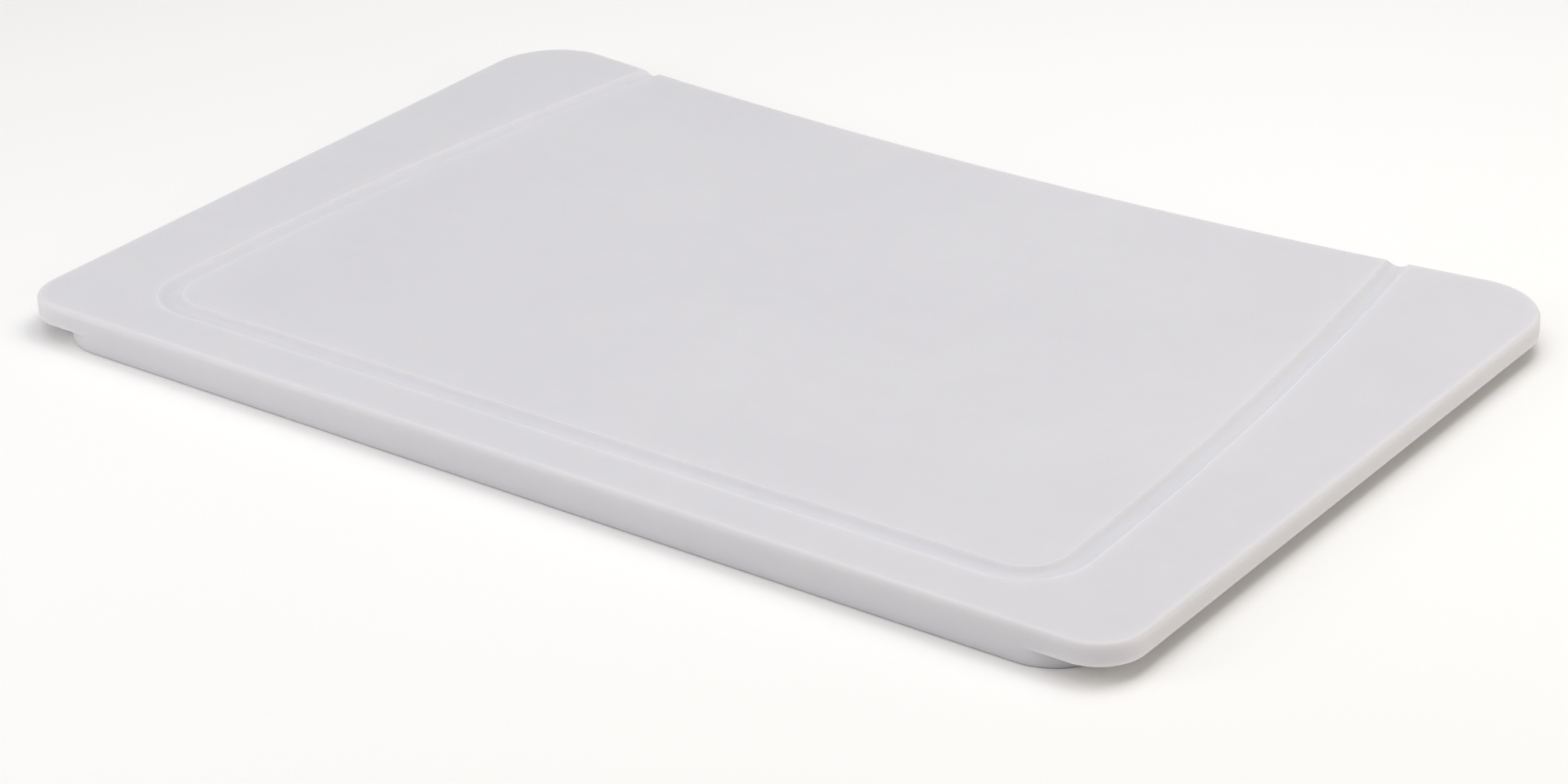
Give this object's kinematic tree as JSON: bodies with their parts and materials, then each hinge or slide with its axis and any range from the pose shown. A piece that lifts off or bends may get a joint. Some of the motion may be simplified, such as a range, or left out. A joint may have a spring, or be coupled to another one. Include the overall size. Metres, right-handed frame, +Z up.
{
  "type": "cutting board",
  "caption": "White polyethylene cutting board with a juice groove along three sides, a hollow back edge and a rebated lip under each short end.",
  "frame": {"origin": "centre of the board's bounding box, at the level of the face it rests on", "axes": "+Z up through the thickness; +X along the length; +Y from the straight front edge to the hollow back edge"},
  "size_m": [0.635, 0.406, 0.019],
  "materials": {
    "white_polyethylene": "satin, milky, fine planed texture"
  },
  "bodies": {
    "root": {"board": "white_polyethylene"}
  },
  "joints": []
}
